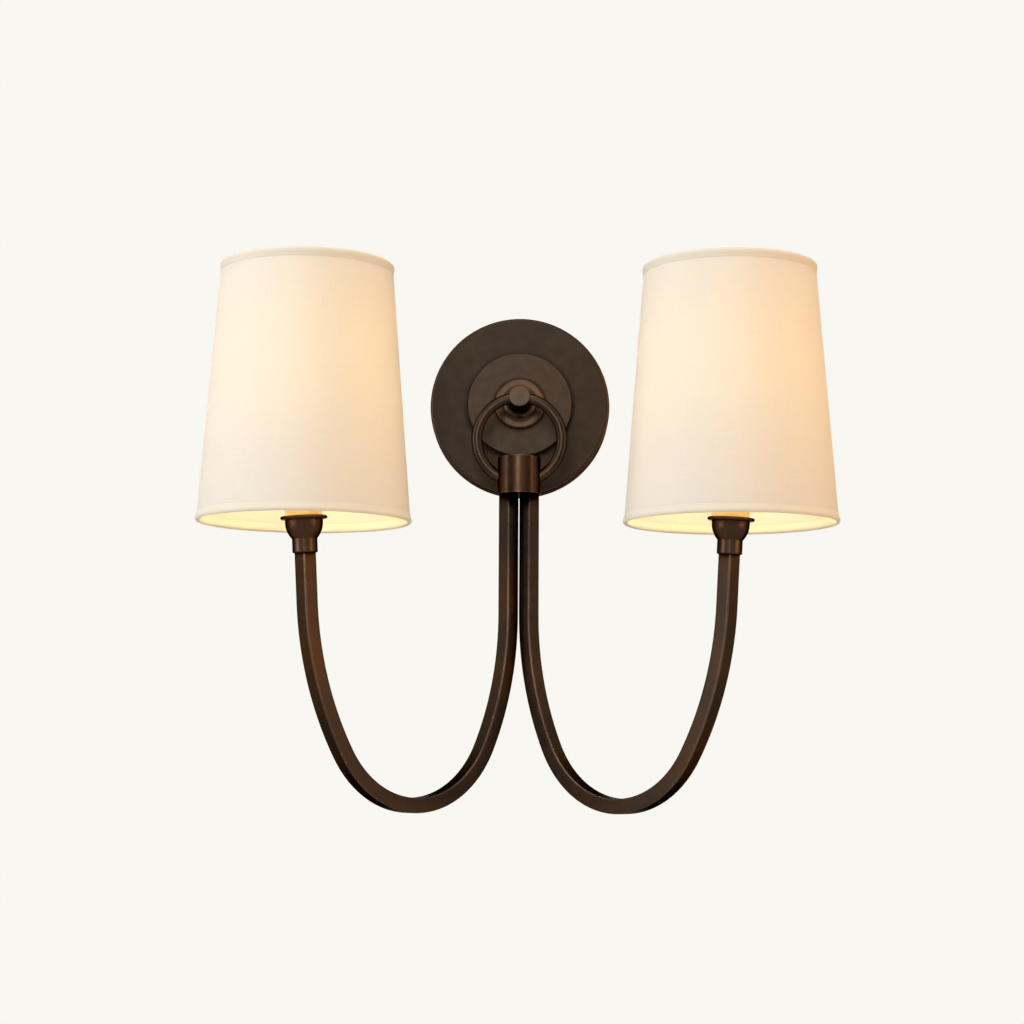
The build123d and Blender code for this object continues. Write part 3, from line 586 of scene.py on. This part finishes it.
# ---------------------------------------------------------------- finishes on the CAD's nodes
MATERIALS = {name: bronze(name, **look) for name, look in BRONZES.items()}
MATERIALS.update({name: plain(name, *look) for name, look in PLAINS.items()})
MATERIALS["lamp_glass"] = frosted_glass("lamp_glass")
MATERIALS["lamp_filament"] = glowing(
    "lamp_filament", FILAMENT_COLOUR, FILAMENT_LIGHT, FILAMENT_STRENGTH
)[0]
for side_name in SIDES:
    for finish, look in LINENS.items():
        name = f"{finish}_{side_name}"
        MATERIALS[name] = linen(name, side_name, *look)

SLOT_OF = {row["node"]: row["material_slot"] for row in frame["record"]["subparts"]}
for node, piece in frame["nodes"].items():
    finish = SLOT_OF[node]
    if finish in LINENS:
        finish = f"{finish}_{node.rsplit('_', 1)[1]}"
    piece.data.materials.clear()
    piece.data.materials.append(MATERIALS[finish])


# ---------------------------------------------------------------- pieces made here
def link(name, points, faces, finish, body, stands_for):
    """A mesh piece that rides on a body and takes the place of CAD nodes."""
    mesh = bpy.data.meshes.new(name)
    mesh.from_pydata([tuple(p) for p in points], [], faces)
    mesh.materials.append(MATERIALS[finish])
    mesh.polygons.foreach_set("use_smooth", [True] * len(mesh.polygons))
    mesh.update()
    made = bpy.data.objects.new(name, mesh)
    scene.collection.objects.link(made)
    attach(made, body)
    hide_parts(*stands_for)
    return made


def grid_faces(rows, columns, flip=False):
    """Quads of a grid of points stored row by row, closed in both directions."""
    faces = []
    for i in range(rows):
        for j in range(columns):
            a, b = i * columns + j, i * columns + (j + 1) % columns
            c, d = (i + 1) % rows * columns + (j + 1) % columns, (i + 1) % rows * columns + j
            faces.append((d, c, b, a) if flip else (a, b, c, d))
    return faces


def arm_line():
    """The arm's centre line in its own plane, as in the CAD: across, height and heading."""
    line = [
        (0.0, COLLAR_BOTTOM - ARM_DROP * k / ARM_DROP_STEPS, radians(-90))
        for k in range(ARM_DROP_STEPS + 1)
    ]
    x, z, heading = line[-1]
    for radius, turn in ARM_BENDS:
        centre = (x - radius * sin(heading), z + radius * cos(heading))
        steps = max(ARM_BEND_LEAST_STEPS, int(degrees(turn) / ARM_BEND_STEP))
        for k in range(1, steps + 1):
            angle = heading + turn * k / steps
            line.append((centre[0] + radius * sin(angle), centre[1] - radius * cos(angle), angle))
        x, z, heading = line[-1]
    for k in range(1, ARM_END_STEPS + 1):
        rise = (ARM_END - z) * k / ARM_END_STEPS
        line.append((x + rise * tan(ARM_LEAN), z + rise, heading))
    return line


def square_section(side_length, corner, steps):
    """A rounded square's loop as (n, b, wear): wear, which also paints a pale highlight, is one on the
    corners.
    """
    half = side_length / 2
    flat = half - corner - ARM_WEAR_FADE
    loop = []
    for quarter in range(4):
        turn = quarter * pi / 2
        for k in range(steps + 1):
            angle = pi / 2 * k / steps
            n = half - corner + corner * cos(angle)
            b = half - corner + corner * sin(angle)
            wear = 1.0 - abs(k / steps - 0.5) * 2.0
            loop.append((n * cos(turn) - b * sin(turn), n * sin(turn) + b * cos(turn), wear))
        for b in (flat, -flat):
            loop.append((-half * sin(turn) + b * cos(turn), half * cos(turn) + b * sin(turn), 0.0))
    return loop


def bar(side_name, side):
    """One arm: a bent square tube with a bore, open at both ends and worn on its corners, with a painted
    pale highlight along them.
    """
    away = Vector((side * cos(ARM_SPLAY), -sin(ARM_SPLAY), 0))
    beside = Vector((-sin(ARM_SPLAY), -side * cos(ARM_SPLAY), 0))
    start = Vector((side * ARM_X, -RING_REACH, 0))
    line = arm_line()
    outer = square_section(ARM_SIDE, ARM_EDGE, ARM_EDGE_STEPS)
    inner = square_section(ARM_BORE, ARM_BORE_EDGE, ARM_BORE_EDGE_STEPS)
    points, wear = [], []
    for across, height, heading in line:
        normal = away * -sin(heading) + Vector((0, 0, cos(heading)))
        middle = start + away * across + Vector((0, 0, height))
        for n, b, worn in outer + inner:
            points.append(middle + normal * n + beside * b)
            wear.append(worn)
    count, rows = len(outer) + len(inner), len(line)
    loops = ((0, len(outer)), (len(outer), len(inner)))
    faces = []
    for i in range(rows - 1):
        for first, length in loops:
            for j in range(length):
                a = i * count + first + j
                b = i * count + first + (j + 1) % length
                quad = (a, b, b + count, a + count)
                faces.append(quad[::-1] if first else quad)
    made = link(f"bar_{side_name}", points, faces, "arm_bronze", "fixture", [f"arm_{side_name}"])
    bm = bmesh.new()
    bm.from_mesh(made.data)
    for i in (0, rows - 1):
        bm.verts.ensure_lookup_table()
        edges = []
        for first, length in loops:
            ring = [bm.verts[i * count + first + j] for j in range(length)]
            edges += [bm.edges.get((ring[j], ring[(j + 1) % length])) for j in range(length)]
        bmesh.ops.bridge_loops(bm, edges=edges)
    bmesh.ops.recalc_face_normals(bm, faces=bm.faces)
    bm.to_mesh(made.data)
    bm.free()
    attribute = made.data.attributes.new(CORNER_WEAR_AND_HIGHLIGHT, "FLOAT", "POINT")
    attribute.data.foreach_set("value", wear)


def round_angles():
    """Turns round a shade from the seam at its back, close where the seam's edges step."""
    angles = [2 * pi * k / SKIN_COLUMNS for k in range(SKIN_COLUMNS)]
    angles = [
        a for a in angles if min(abs(a - SEAM_ANGLE), abs(2 * pi - SEAM_ANGLE - a)) > 4 * LIP_ANGLE
    ]
    steps = [edge + lip for edge in (SEAM_ANGLE, 2 * pi - SEAM_ANGLE) for lip in (-LIP_ANGLE, LIP_ANGLE)]
    return sorted(angles + steps)


def on_shade(centre, turn, along, out):
    """A place on a shade: its turn from the seam, along the slope and out from the middle."""
    radius, height = slant(along, out)
    angle = turn + pi / 2
    return (centre[0] + radius * cos(angle), centre[1] + radius * sin(angle), height)


def lap_step(turn, out):
    """What the lap adds on the outside, where the cloth lies double at its seam."""
    lapped = turn < SEAM_ANGLE or turn > 2 * pi - SEAM_ANGLE
    return SEAM_STEP if out > 0 and lapped else 0.0


def skin_points(centre, side, angles):
    """The cloth's rows of points: up its outside, then down its inside."""
    points = []
    for sign, rows in ((1, range(SKIN_ROWS + 1)), (-1, range(SKIN_ROWS, -1, -1))):
        for i in rows:
            along = SKIN_END + (SLANT_LENGTH - 2 * SKIN_END) * i / SKIN_ROWS
            for turn in angles:
                spot = Vector(on_shade(centre, turn, along, 0)) * RIPPLE_SCALE
                ripple = noise.noise(spot + Vector((side * RIPPLE_SHIFT, 0, 0)))
                out = sign * SKIN_THICKNESS / 2 + ripple * RIPPLE_DEPTH
                points.append(on_shade(centre, turn, along, out + lap_step(turn, out)))
    return points


def hem_profile():
    """The tape's section as (along, out): outside over the wire to the inside, and back.

    Its free edges are pressed thin, and it swells in a soft curve over the wire.
    """
    leaf = SKIN_THICKNESS / 2 + HEM_LEAF
    face = SKIN_THICKNESS / 2 + HEM_GAP
    fold = SKIN_END + HEM_FOLD_GAP
    bore = FRAME_WIRE + HEM_GAP
    outside = []
    for k in range(HEM_SWELL_STEPS + 1):
        share = k / HEM_SWELL_STEPS
        swell = share * share * (3 - 2 * share)
        along = HEM_HEIGHT - share * (HEM_HEIGHT - WIRE_INSET)
        outside.append((along, leaf + swell * (HEM_SWELL - leaf)))
    profile = list(outside)
    for k in range(1, HEM_ROUND_STEPS):
        angle = pi / 2 + pi * k / HEM_ROUND_STEPS
        profile.append((WIRE_INSET + WIRE_INSET * cos(angle), HEM_SWELL * sin(angle)))
    profile += [(along, -out) for along, out in reversed(outside)]
    profile += [(HEM_HEIGHT + HEM_TIP, HEM_TIP - leaf), (HEM_HEIGHT, -face), (fold, -face)]
    for k in range(1, HEM_ROUND_STEPS):
        angle = -HEM_MOUTH - (2 * pi - 2 * HEM_MOUTH) * k / HEM_ROUND_STEPS
        profile.append((WIRE_INSET + bore * cos(angle), bore * sin(angle)))
    return profile + [(fold, face), (HEM_HEIGHT, face), (HEM_HEIGHT + HEM_TIP, leaf - HEM_TIP)]


def hem_points(centre, angles, profile, edge, inward):
    """The tape's rows of points, its free edges drifting a little."""
    points = []
    for along, out in profile:
        for turn in angles:
            spot = Vector(on_shade(centre, turn, edge, 0)) * DRIFT_SCALE
            drift = noise.noise(spot) * DRIFT_DEPTH * max(0.0, along / HEM_HEIGHT)
            place = edge + inward * (along + drift)
            points.append(on_shade(centre, turn, place, out + lap_step(turn, out)))
    return points


def face_outward(mesh):
    """Turn all of a closed mesh's faces to its outside."""
    bm = bmesh.new()
    bm.from_mesh(mesh)
    bmesh.ops.recalc_face_normals(bm, faces=bm.faces)
    bm.to_mesh(mesh)
    bm.free()


def cloth(side_name, side):
    """One shade's skin with its two hem tapes."""
    centre = shade_centre(side_name)
    angles = round_angles()
    profile = hem_profile()
    skin = link(
        f"cloth_{side_name}",
        skin_points(centre, side, angles),
        grid_faces(2 * (SKIN_ROWS + 1), len(angles)),
        f"linen_shade_{side_name}",
        f"shade_{side_name}",
        [f"shade_skin_{side_name}"],
    )
    hems = []
    for end_name, edge, inward in (("top", SLANT_LENGTH, -1), ("bottom", 0.0, 1)):
        hem = link(
            f"hem_{end_name}_{side_name}",
            hem_points(centre, angles, profile, edge, inward),
            grid_faces(len(profile), len(angles), flip=inward < 0),
            f"linen_hem_{side_name}",
            f"shade_{side_name}",
            [f"shade_{end_name}_hem_{side_name}"],
        )
        hems.append(hem)
    for piece in (skin, *hems):
        face_outward(piece.data)


for side_name, side in SIDES.items():
    bar(side_name, side)
for side_name, side in SIDES.items():
    cloth(side_name, side)

# ---------------------------------------------------------------- floor
FLOOR_GRAIN = (60.0, 4.0)
FLOOR_DARKER = (0.90, 0.89, 0.85)
FLOOR_LIGHTER = (0.93, 0.92, 0.88)
FLOOR_ROUGH = 0.9
FLOOR_FADE = (0.35, 0.80)
FLOOR_PLACE = (0.0, -0.12, -0.50)
FLOOR_HALF = 1.0

made, kit, shader = material("floor")
place = kit.place()
grain = kit.ramp(kit.noise(place, *FLOOR_GRAIN), *MIDDLE_RANGE)
kit.put(shader.inputs["Base Color"], kit.mix(grain, FLOOR_DARKER, FLOOR_LIGHTER))
shader.inputs["Roughness"].default_value = FLOOR_ROUGH
# It fades out away from its middle, and only its upper side shows, so a look from below
# isn't through a haze of floor.
near = kit.ramp(kit.vector("LENGTH", place), *FLOOR_FADE, 1.0, 0.0)
upper_side = kit.math("SUBTRACT", 1.0, kit.add("ShaderNodeNewGeometry").outputs["Backfacing"])
clear = kit.add("ShaderNodeBsdfTransparent")
kit.surface(kit.math("MULTIPLY", near, upper_side), clear.outputs[0], shader.outputs[0])
floor_mesh = bpy.data.meshes.new("floor")
corners = [(x * FLOOR_HALF, y * FLOOR_HALF, 0.0) for x, y in ((-1, -1), (1, -1), (1, 1), (-1, 1))]
floor_mesh.from_pydata(corners, [], [(0, 1, 2, 3)])
floor_mesh.materials.append(made)
floor = bpy.data.objects.new("floor", floor_mesh)
floor.location = FLOOR_PLACE
scene.collection.objects.link(floor)

# ---------------------------------------------------------------- world and lamps
BACKDROP = (0.939, 0.930, 0.880)
WORLD_LIGHT = (0.28, 0.28, 0.28)

world = bpy.data.worlds.new("world")
world.use_nodes = True
scene.world = world
kit = Nodes(world.node_tree)
background = world.node_tree.nodes["Background"]
path = kit.add("ShaderNodeLightPath")
seen = kit.math(
    "MAXIMUM",
    path.outputs["Is Camera Ray"],
    kit.math("MAXIMUM", path.outputs["Is Glossy Ray"], path.outputs["Is Transmission Ray"]),
)
kit.put(background.inputs["Color"], kit.mix(seen, WORLD_LIGHT, BACKDROP))
background.inputs["Strength"].default_value = 1.0

LAMP_AIM = Vector((0.0, -0.12, -0.1))
SIDE_LAMP_SIZE = (0.7, 1.4)
# Each lamp's place, width and height, power in watts and colour.
LAMPS = {
    "key_left": ((-1.35, -0.75, 0.25), SIDE_LAMP_SIZE, 15.0, (0.92, 0.92, 1.0)),
    "fill_right": ((1.35, -0.75, 0.25), SIDE_LAMP_SIZE, 12.0, (1.0, 0.55, 0.24)),
    "top": ((0.0, -0.9, 1.4), (1.2, 0.8), 11.5, (1.0, 1.0, 1.0)),
    "front": ((-0.25, -2.4, 0.35), (0.75, 0.75), 9.6, (1.0, 1.0, 1.0)),
}
for name, (place, size, power, colour) in LAMPS.items():
    data = bpy.data.lights.new(name, "AREA")
    data.shape = "RECTANGLE"
    data.size, data.size_y = size
    data.energy = power
    data.color = colour
    made = bpy.data.objects.new(name, data)
    made.location = place
    made.rotation_euler = (LAMP_AIM - Vector(place)).to_track_quat("-Z", "Y").to_euler()
    scene.collection.objects.link(made)

scene.view_settings.view_transform = "Standard"
